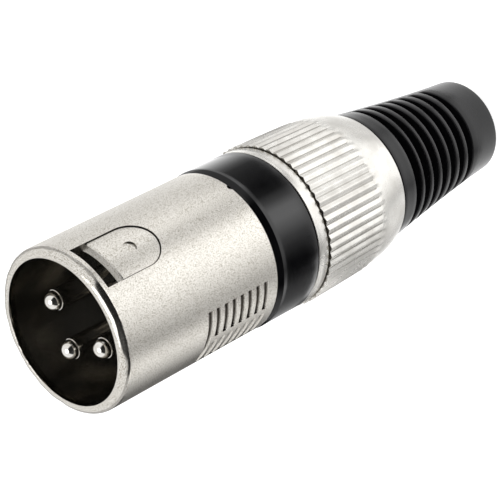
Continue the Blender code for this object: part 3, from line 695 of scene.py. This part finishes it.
# %% Ring
RING_RISE, RING_CHAMFER, RING_CHAMFER_SINK, RING_REAR_ROUND = 0.1, 0.7, 0.24, 0.1
ring_bore, ring_r = RING_SEAT_R + FIT_GAP, BARREL_R + RING_RISE
outline = [(ring_bore, RING_FRONT), (BARREL_R - RING_CHAMFER_SINK, RING_FRONT)]
outline += arc(BARREL_R - RING_CHAMFER_SINK, RING_FRONT - 0.04, 0.04, 80, 25, 2)
outline += arc(ring_r - 0.08, RING_FRONT - RING_CHAMFER, 0.08, 22, 0, 4)
outline += wall(ring_r, RING_FRONT - RING_CHAMFER - 0.04, RING_REAR + 0.12, 0.6)[1:]
outline += arc(ring_r - RING_REAR_ROUND, RING_REAR + RING_REAR_ROUND, RING_REAR_ROUND, 0, -90, 3)
outline += [(ring_bore, RING_REAR)]
ring = spin_outline("ring_fine", outline, BARREL_STEPS)
dress(ring, gloss_black, "gloss_black_plastic", "shell", "ring")

# %% [markdown]
# ## The nut
#
# The nut has 56 flutes in a row between a plain collar and a smooth taper. Only one flute is
# modelled: the outline is spun through the angle of one flute, its points are moved to a sharp
# crest between two round valleys, and the spin operator copies it round the axis.

# %% One flute of the nut
FLUTES, FLUTE_STEPS, TAPER_STEPS = 56, 8, 16
FLUTE_LENGTH, FLUTE_DEPTH, RUNOUT = 9.5, 0.25, 0.3
NUT_WALL, THREAD_RELIEF, COLLAR_ROUND, RELIEF_ROUND, NUT_REAR_ROUND = 1.55, 0.6, 0.1, 0.05, 0.25
NUT_HOLE_R, NUT_POCKET_R, NUT_THREAD_R = THREAD_R - 1.3, THREAD_R - 0.7, THREAD_R + 0.2
flute_rear, relief_front = FLUTE_FRONT - FLUTE_LENGTH, FLUTE_FRONT + RELIEF_WIDTH
taper_front, taper_r, rear_r = flute_rear - 0.35, BARREL_R - 0.08, BARREL_R - 0.9
collar_r, relief_r = BARREL_R + 0.05, BARREL_R - 0.25

outline = [(NUT_THREAD_R + 0.4, NUT_FRONT)]
outline += arc(collar_r - COLLAR_ROUND, NUT_FRONT - COLLAR_ROUND, COLLAR_ROUND, 90, 0, 4)
outline += arc(collar_r - RELIEF_ROUND, relief_front + RELIEF_ROUND, RELIEF_ROUND, 0, -90, 2)
outline += [(relief_r, relief_front), (relief_r, FLUTE_FRONT)]
outline += wall(BARREL_R, FLUTE_FRONT, flute_rear + RUNOUT, 0.9)
outline += wall(BARREL_R, flute_rear + RUNOUT - 0.1, flute_rear, 0.1)
taper_length = taper_front - NUT_REAR - NUT_REAR_ROUND
for i in range(TAPER_STEPS + 1):
    part = i / TAPER_STEPS
    outline.append((taper_r + (rear_r - taper_r) * part**2, taper_front - taper_length * part))
outline += arc(rear_r - NUT_REAR_ROUND, NUT_REAR + NUT_REAR_ROUND, NUT_REAR_ROUND, 0, -90, 5)[1:]
wall_front, thread_floor = NUT_REAR + NUT_WALL, SPIGOT_END - THREAD_RELIEF
outline += [(NUT_HOLE_R, NUT_REAR), (NUT_HOLE_R, wall_front), (NUT_POCKET_R, wall_front)]
outline += [(NUT_POCKET_R, thread_floor), (NUT_THREAD_R, thread_floor), (NUT_THREAD_R, NUT_FRONT - 0.4)]
pitch_angle = 360 / FLUTES
nut = spin_outline("nut_fine", outline, FLUTE_STEPS, pitch_angle, -pitch_angle / 2)
print("Flute", round(2 * math.pi * BARREL_R / FLUTES, 2), "mm wide and", FLUTE_DEPTH, "mm deep")

# %% [markdown]
# ## Shaping the flutes
#
# The spin made nine columns of points for this flute. The crest stands in the middle, and the
# columns beside it are drawn close, so that crest and valley are narrow and the flanks between
# them are flat. At the rear the flute runs out into the front of the taper.

# %% Shape and copy the flute
SPREAD = (-1.0, -0.85, -0.48, -0.13, 0.0, 0.13, 0.48, 0.85, 1.0)
HEIGHTS = (0.0, 0.08, 0.5, 0.93, 1.0, 0.93, 0.5, 0.08, 0.0)
CREST_FRONT, CREST_REAR = 0.34, 0.1  # how far the two ends of a crest rise over the barrel
front_root, rear_root = BARREL_R + CREST_FRONT - FLUTE_DEPTH, BARREL_R + CREST_REAR - FLUTE_DEPTH
for vert in nut.data.vertices:
    radius, z = lathe_place(vert.co)
    turned = math.degrees(math.atan2(vert.co.y, vert.co.x))
    column = round(turned / pitch_angle * FLUTE_STEPS) + FLUTE_STEPS // 2
    angle = math.radians(SPREAD[column] * pitch_angle / 2)
    if abs(radius - BARREL_R) < 0.001 and flute_rear - 0.01 < z < FLUTE_FRONT + 0.01:
        along = (z - flute_rear) / (FLUTE_FRONT - flute_rear)
        full = rear_root + (front_root - rear_root) * along + FLUTE_DEPTH * HEIGHTS[column]
        ease = min(1, 0.55 + 0.45 * (z - flute_rear) / RUNOUT)
        radius = taper_r + (full - taper_r) * ease
    vert.co.x, vert.co.y = radius * math.cos(angle) * MM, radius * math.sin(angle) * MM

only(nut)
bpy.ops.object.mode_set(mode="EDIT")
bpy.ops.mesh.select_all(action="SELECT")
others = math.radians(pitch_angle * (FLUTES - 1))
bpy.ops.mesh.spin(steps=FLUTES - 1, angle=-others, dupli=True, center=(0, 0, 0), axis=(0, 0, 1))
bpy.ops.mesh.select_all(action="SELECT")
bpy.ops.mesh.remove_doubles(threshold=2 * WELD * MM)
bpy.ops.mesh.normals_make_consistent(inside=False)
bpy.ops.object.mode_set(mode="OBJECT")
open_edges = bmesh.new()
open_edges.from_mesh(nut.data)
print("Open edges on the nut:", sum(not edge.is_manifold for edge in open_edges.edges))
open_edges.free()


def in_valley(face):
    """Whether a face of the nut lies at the bottom between two flutes."""
    x, y, z = face.center / MM
    share = (math.degrees(math.atan2(y, x)) / pitch_angle + 0.5) % 1 - 0.5
    return abs(share) > 0.44 and math.hypot(x, y) > BARREL_R - 0.6 and flute_rear + 0.2 < z < FLUTE_FRONT


# Painted shade: marks the valley faces for the grey line between the flutes.
mark_faces(nut, "valley_shade", in_valley)
dress(nut, bright_nickel, "bright_nickel", "nut", "nut", smooth=38)

# %% [markdown]
# ## The boot
#
# The rubber boot keeps the cable from kinking. Its tail is slotted from two opposite sides, so
# that only a flat spine is left in the middle and the tail can bend. The outline has a row of
# points only in the middle of each slot, where the cut takes it away, so the ribs that
# are left have clean faces that a bevel can round.

# %% Boot
BOOT_COLLAR_R, BOOT_BORE_R = BARREL_R - 1.2, BARREL_R - 6.2
BOOT_TAPER, BOOT_CURVE, BOOT_END_ROUND, BOOT_COLLAR_ROUND, RIB_ROUND = 2.35, 1.25, 0.35, 0.25, 0.15
FLANGE_R, NECK_R = THREAD_R - 0.85, THREAD_R - 1.45
SOCKET_WALL, SOCKET_FLOOR_WALL, SOCKET_DEPTH, SOCKET_END = 0.75, 3.25, 3.7, 4.6
SLOTS, SLOT_PITCH, SLOT_ANGLE, SLOT_DRAFT = 7, 1.92, -126.7, 3.4
SLOT_FLOOR, SLOT_HALF = 1.9, 0.35  # how far its floor lies off the axis, and half its width there
first_slot = BOOT_TAIL - 3.3


def boot_r(z):
    """Outer radius of the boot's tail at a level."""
    return BOOT_COLLAR_R - BOOT_TAPER * (1 - (z / BOOT_TAIL) ** BOOT_CURVE)


slot_levels = [first_slot - i * SLOT_PITCH for i in range(SLOTS)]
outline = [(BOOT_BORE_R, 0.0)]
outline += arc(boot_r(0) - BOOT_END_ROUND, BOOT_END_ROUND, BOOT_END_ROUND, -90, 0, 5)
outline += [(boot_r(z), z) for z in [1.2, 2.2, 3.2, 4.2] + slot_levels[::-1] + [18.9, 19.9]]
outline += arc(BOOT_COLLAR_R - BOOT_COLLAR_ROUND, BOOT_TAIL - BOOT_COLLAR_ROUND, BOOT_COLLAR_ROUND, 0, 90, 5)
flange_rear = NUT_REAR + NUT_WALL + SEAT_GAP
outline += [(NECK_R, BOOT_TAIL), (NECK_R, flange_rear), (FLANGE_R, flange_rear), (FLANGE_R, BOOT_FRONT)]
outline += [(FLANGE_R - SOCKET_WALL, BOOT_FRONT), (FLANGE_R - SOCKET_FLOOR_WALL, BOOT_FRONT - SOCKET_DEPTH)]
outline += [(BOOT_BORE_R, BOOT_FRONT - SOCKET_END)]
boot = spin_outline("boot_fine", outline, 180)

slots = []
past_r = BOOT_COLLAR_R + 1
flare = (past_r - SLOT_FLOOR) * math.tan(math.radians(SLOT_DRAFT))
for z in slot_levels:
    for side in (0, 180):
        slot = block("slot", (SLOT_FLOOR, -10, z - SLOT_HALF), (past_r, 10, z + SLOT_HALF))
        for vert in slot.data.vertices:
            if vert.co.x > past_r / 2 * MM:
                vert.co.z += math.copysign(flare * MM, vert.co.z - z * MM)
        slot.rotation_euler.z = math.radians(SLOT_ANGLE + side)
        slots.append(slot)
only(*slots)
bpy.ops.object.join()
combine(boot, settle())
soften(boot, RIB_ROUND, 3, 40)
dress(boot, black_rubber, "black_rubber", "boot", "boot", smooth=40)

# %% [markdown]
# ## The pins
#
# A pin is turned, like the shell: a round tip on a fine shoulder, a shank, a flange that sits in
# the insert, and a solder cup that is cut open on one side. It is spun on the axis,
# cut, and copied to its three places, each copy with a mesh of its own.

# %% Pins
PIN_ANGLES = {1: 0, 3: 90, 2: 180}
PIN_CIRCLE_R, PIN_R, TIP_R, PIN_FLANGE_R, CUP_R, CUP_BORE_R = 3.96, 1.2, 1.12, 1.8, 1.5, 1.05
TIP_FROM_MOUTH, CUP_LENGTH, CUP_DEPTH, CUP_CUT = 1.35, 6.0, 4.6, 3.2
tip_z, cup_end = MOUTH - TIP_FROM_MOUTH - TIP_R, INSERT_REAR - CUP_LENGTH
flange_low, flange_high = INSERT_REAR + SEAT_GAP, INSERT_REAR + 1.6


def pin_place(angle):
    """Where a pin's axis stands, in millimetres."""
    return PIN_CIRCLE_R * Vector((math.cos(math.radians(angle)), math.sin(math.radians(angle)), 0))


outline = [(0, cup_end + CUP_DEPTH), (CUP_BORE_R, cup_end + CUP_DEPTH), (CUP_BORE_R, cup_end)]
outline += [(CUP_R, cup_end), (CUP_R, flange_low), (PIN_FLANGE_R, flange_low), (PIN_FLANGE_R, flange_high)]
outline += [(PIN_R, flange_high)] + wall(PIN_R, flange_high + 2, tip_z - 0.16, 2.0)
outline += [(PIN_R - 0.03, tip_z - 0.1), (TIP_R, tip_z - 0.09)]
outline += arc(0, tip_z, TIP_R, 0, 90, 24)[:-1] + [(0, tip_z + TIP_R)]
pin = spin_outline("pin", outline, 64)
combine(pin, block("cup_mouth", (0.35, -2, cup_end - 1), (3, 2, cup_end + CUP_CUT)))
for number, angle in PIN_ANGLES.items():
    copy = pin.copy()
    copy.data = pin.data.copy()
    copy.name = copy.data.name = f"pin_{number}_fine"
    bpy.context.scene.collection.objects.link(copy)
    copy.rotation_euler.z = math.radians(angle)
    copy.location = pin_place(angle) * MM
    only(copy)
    dress(settle(), plated_pin, "plated_pin", "shell", f"pin_{number}")
bpy.data.objects.remove(pin)

# %% [markdown]
# ## The insert
#
# The insert is the black floor of the mouth. Its nose fills the shell's bore, a wider flange
# stops it from behind, and three holes take the pins. It is spun, gets its key by a join, and
# is bored with round bars.

# %% Insert
nose_r, insert_flange_r = NOSE_BORE_R - FIT_GAP, SPIGOT_BORE_R - FIT_GAP
flange_front = STOP - SEAT_GAP
outline = [(0, CAVITY_FLOOR), (3.0, CAVITY_FLOOR)] + arc(nose_r - 0.1, CAVITY_FLOOR - 0.1, 0.1, 90, 0, 3)
outline += [(nose_r, flange_front), (insert_flange_r, flange_front)]
outline += [(insert_flange_r, INSERT_REAR), (0, INSERT_REAR)]
insert = spin_outline("insert_fine", outline, 128)
key_low = (-KEY_HALF, -SPIGOT_BORE_R - KEY_HEIGHT, INSERT_REAR)
combine(insert, block("key", key_low, (KEY_HALF, -nose_r + 1, STOP - KEY_FROM_STOP)), "UNION")
holes = ((PIN_R + FIT_GAP, CAVITY_FLOOR + 1), (PIN_FLANGE_R + FIT_GAP, flange_high + SEAT_GAP))
for angle in PIN_ANGLES.values():
    for radius, top in holes:
        low, high = Vector((0, 0, INSERT_REAR - 1)), Vector((0, 0, top))
        combine(insert, rod("hole", radius, pin_place(angle) + low, pin_place(angle) + high, 48))
strip_slot = block("strip_slot", (6.1, -1.45, INSERT_REAR - 1), (9, 1.45, STOP - 0.6))
strip_slot.rotation_euler.z = math.radians(-45)
only(strip_slot)
combine(insert, settle())
dress(insert, matt_black, "matt_black_plastic", "shell", "insert")

# %% [markdown]
# ## Pieces that stay hidden
#
# The chuck that grips the cable and the bent strip of the ground contact lie inside the shell and
# the nut in every pose. Their CAD nodes are right as they are and only get a finish.

# %% Hidden pieces
for name, material in (("chuck", matt_black), ("ground_contact", plated_pin)):
    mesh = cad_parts[name].data
    mesh.materials.clear()
    mesh.materials.append(material)
print("Finished as they are: chuck, ground_contact")

# %% [markdown]
# ## Floor and sky
#
# The photograph has a white ground. The floor is pale and takes the soft shadow, and a little
# light of its own, only for the camera and for mirrors, lifts it to white. It lies a little lower
# than the nut can push the boot, which it would hide otherwise. The sky is done in the same way:
# white where it is seen or mirrored, and dimmer where it lights the plug.

# %% Floor and sky
NUT_TRAVEL = 6.0


def seen_or_mirrored(tree):
    """1 for the rays that show something to the camera, also by a mirror, and 0 for the others."""
    rays = node(tree, "ShaderNodeLightPath", {})
    share = rays.outputs["Is Camera Ray"]
    for kind in ("Is Glossy Ray", "Is Transmission Ray"):
        share = node(
            tree, "ShaderNodeMath", {0: share, 1: rays.outputs[kind]}, operation="MAXIMUM"
        ).outputs["Value"]
    return share


bpy.ops.object.select_all(action="DESELECT")
bpy.ops.mesh.primitive_plane_add(size=3, location=(0, 0, -(NUT_TRAVEL + 0.2) * MM))
floor = bpy.context.object
floor.name = "floor"
floor_paint = bpy.data.materials.new("floor_paint")
floor_paint.use_nodes = True
tree = floor_paint.node_tree
shader = tree.nodes["Principled BSDF"]
shader.inputs["Base Color"].default_value = (0.8, 0.8, 0.8, 1)
shader.inputs["Roughness"].default_value = 0.9
shader.inputs["Emission Color"].default_value = (1, 1, 1, 1)
glow = node(tree, "ShaderNodeMath", {0: seen_or_mirrored(tree), 1: 0.7}, operation="MULTIPLY")
tree.links.new(glow.outputs["Value"], shader.inputs["Emission Strength"])
floor.data.materials.append(floor_paint)

world = bpy.data.worlds.new("studio")
bpy.context.scene.world = world
world.use_nodes = True
tree = world.node_tree
sky = tree.nodes["Background"]
strength = node(tree, "ShaderNodeMapRange", {"Value": seen_or_mirrored(tree), "To Min": 0.5, "To Max": 1.0})
tree.links.new(strength.outputs["Result"], sky.inputs["Strength"])
sky.inputs["Color"].default_value = (1, 1, 1, 1)
bpy.context.scene.view_settings.view_transform = "Standard"
print("Floor at", round(floor.location.z / MM, 2), "mm")

# %% [markdown]
# ## Reflection cards
#
# Seen from the camera, the upright walls of the plug mirror the table close round its foot. A
# photographer lays white, grey and black cards there to draw light and dark bands along the
# metal. Flat rings stand in for them, from the foot outwards: one for the boot and the nut's
# taper, one for the flutes, one for the nut's collar and one for the black ring. The barrel's
# card is the widest and lies under them. Two round walls stand farther out. They are dark on the
# camera's side only, and draw the thin dark lines that the lip and the pins' tips show. The
# brightness changes smoothly with the direction from the plug, and only mirrors see the cards.

# %% Reflection cards
CARD_LIGHT = 3.0  # the brightest that a card can be
MIRROR_SHIFT = 1.9  # towards the camera, where the mirrored borders of the bands have their middle
WALL_NEAR, WALL_FAR, WALL_STEP, WALL_TOP = 165, 166, 90, 480


def put_card(name, radii, levels, stops, shift=0.0):
    """A ring or round wall. The stops are (direction in degrees from the latch side, brightness).
    The shift is how far it lies off the middle, towards the camera."""
    outline = [(radii[0], levels[0]), (radii[1], levels[0]), (radii[1], levels[1]), (radii[0], levels[1])]
    card = spin_outline(name, outline, 96)
    paint = bpy.data.materials.new(name)
    paint.use_nodes = True
    tree = paint.node_tree
    tree.nodes.clear()
    place = tree.nodes.new("ShaderNodeTexCoord").outputs["Object"]
    axes = node(tree, "ShaderNodeSeparateXYZ", {"Vector": place})
    front = node(
        tree, "ShaderNodeMath", {0: axes.outputs["Y"], 1: -1.0}, operation="MULTIPLY"
    ).outputs["Value"]
    turn = node(
        tree, "ShaderNodeMath", {0: axes.outputs["X"], 1: front}, operation="ARCTAN2"
    ).outputs["Value"]
    share = node(
        tree, "ShaderNodeMapRange", {"Value": turn, "From Min": -math.pi, "From Max": math.pi}
    ).outputs["Result"]
    bands = [((direction + 180) / 360, [light / CARD_LIGHT] * 3 + [1]) for direction, light in stops]
    bright = node(tree, "ShaderNodeValToRGB", {"Fac": share}, stops=bands).outputs["Color"]
    glow = node(tree, "ShaderNodeEmission", {"Color": bright, "Strength": CARD_LIGHT}).outputs["Emission"]
    node(tree, "ShaderNodeOutputMaterial", {"Surface": glow})
    card.data.materials.append(paint)
    towards = Vector((camera.location.x, camera.location.y, 0)).normalized()
    card.location = towards * shift * MM
    card.visible_camera = card.visible_diffuse = card.visible_shadow = card.visible_transmission = False
    print(f"{name}: {radii[0]} to {radii[1]} mm from the axis")


BARREL_BANDS = [(-180, 0.05), (-160, 0.05), (-148, 0.4), (-135, 0.85), (-115, 1.5), (-103, 0.78)]
BARREL_BANDS += [(-91, 0.36), (-78, 0.77), (-60, 1.24), (-30, 1.78), (-8, 1.75), (6, 0.75), (18, 0.85)]
BARREL_BANDS += [(32, 1.6), (57, 1.02), (81, 0.9), (118, 1.15), (150, 0.6), (170, 0.1), (180, 0.05)]
RING_BANDS = [(-180, 0.55), (-157, 0.46), (-145, 0.34), (-123, 0.3), (-111, 0.14), (-99, 0.03)]
RING_BANDS += [(-88, 0.0), (-78, 0.1), (-66, 0.34), (-54, 0.75), (-42, 1.6), (-29, 2.4), (-17, 2.3)]
RING_BANDS += [(-5, 0.9), (8, 0.15), (20, 0.05), (41, 0.15), (64, 0.27), (75, 0.63), (86, 1.18)]
RING_BANDS += [(98, 1.66), (130, 1.9), (180, 0.55)]
NUT_BANDS = [(-180, 0.15), (-167, 0.3), (-157, 1.3), (-145, 2.3), (-134, 2.6), (-103, 2.7), (-91, 0.8)]
NUT_BANDS += [(-78, 1.1), (-60, 1.35), (-30, 1.45), (-8, 1.5), (6, 0.95), (18, 0.8), (32, 1.35), (57, 1.05)]
NUT_BANDS += [(75, 1.25), (86, 1.45), (108, 1.2), (150, 0.9), (180, 0.2)]
FLUTE_BANDS = [(-180, 0.36), (-105, 0.36), (-88, 0.6), (-70, 1.25), (-30, 1.5), (20, 1.4), (50, 1.25)]
FLUTE_BANDS += [(72, 0.5), (90, 0.36), (180, 0.36)]
FOOT_BANDS = [(-176, 1.6), (-164, 1.4), (-152, 0.85), (-140, 0.6), (-128, 0.78), (-115, 0.95), (-91, 0.9)]
FOOT_BANDS += [(-78, 0.55), (-66, 0.95), (-54, 1.25), (-29, 1.45), (-5, 1.4), (8, 1.15), (20, 0.72)]
FOOT_BANDS += [(32, 0.9), (57, 0.8), (69, 0.95), (81, 1.12), (93, 1.3), (118, 1.5), (180, 1.6)]
LOW_BANDS = [(-180, 0.6), (-125, 0.6), (-105, 0.02), (0, 0.02), (20, 0.55), (150, 0.55), (180, 0.6)]
HIGH_BANDS = [(-180, 1.0), (-110, 1.0), (-98, 0.02), (2, 0.02), (16, 1.0), (180, 1.0)]
put_card("card_barrel", (20, 160), (0.1, 0.11), BARREL_BANDS)
put_card("card_flutes", (30, 46.4), (0.2, 0.21), FLUTE_BANDS, MIRROR_SHIFT)
put_card("card_nut", (46.4, 52), (0.2, 0.21), NUT_BANDS, MIRROR_SHIFT)
put_card("card_ring", (50.1, 58.3), (0.3, 0.31), RING_BANDS, MIRROR_SHIFT)
put_card("card_foot", (8, 34), (0.3, 0.31), FOOT_BANDS)
put_card("low_wall", (WALL_NEAR, WALL_FAR), (0.1, WALL_STEP), LOW_BANDS)
put_card("high_wall", (WALL_NEAR, WALL_FAR), (WALL_STEP, WALL_TOP), HIGH_BANDS)

# %% [markdown]
# ## Lamps
#
# One large soft lamp hangs over the plug, and a second stands to the left, so the matt and black
# pieces get a gentle shape and the shadow on the floor stays faint.

# %% Lamps
def soft_lamp(name, place, aim, size, watts):
    """A square area lamp, its place and aim in metres."""
    way = Vector(aim) - Vector(place)
    bpy.ops.object.light_add(type="AREA", location=place, rotation=way.to_track_quat("-Z", "Y").to_euler())
    lamp = bpy.context.object
    lamp.name, lamp.data.name = name, name
    lamp.data.shape, lamp.data.size, lamp.data.energy = "SQUARE", size, watts
    return lamp


soft_lamp("overhead", (0.02, 0.05, 0.5), (0, 0, 0.02), 0.5, 1.1)
soft_lamp("side", (-0.45, -0.1, 0.3), (0, 0, 0.03), 0.35, 0.6)
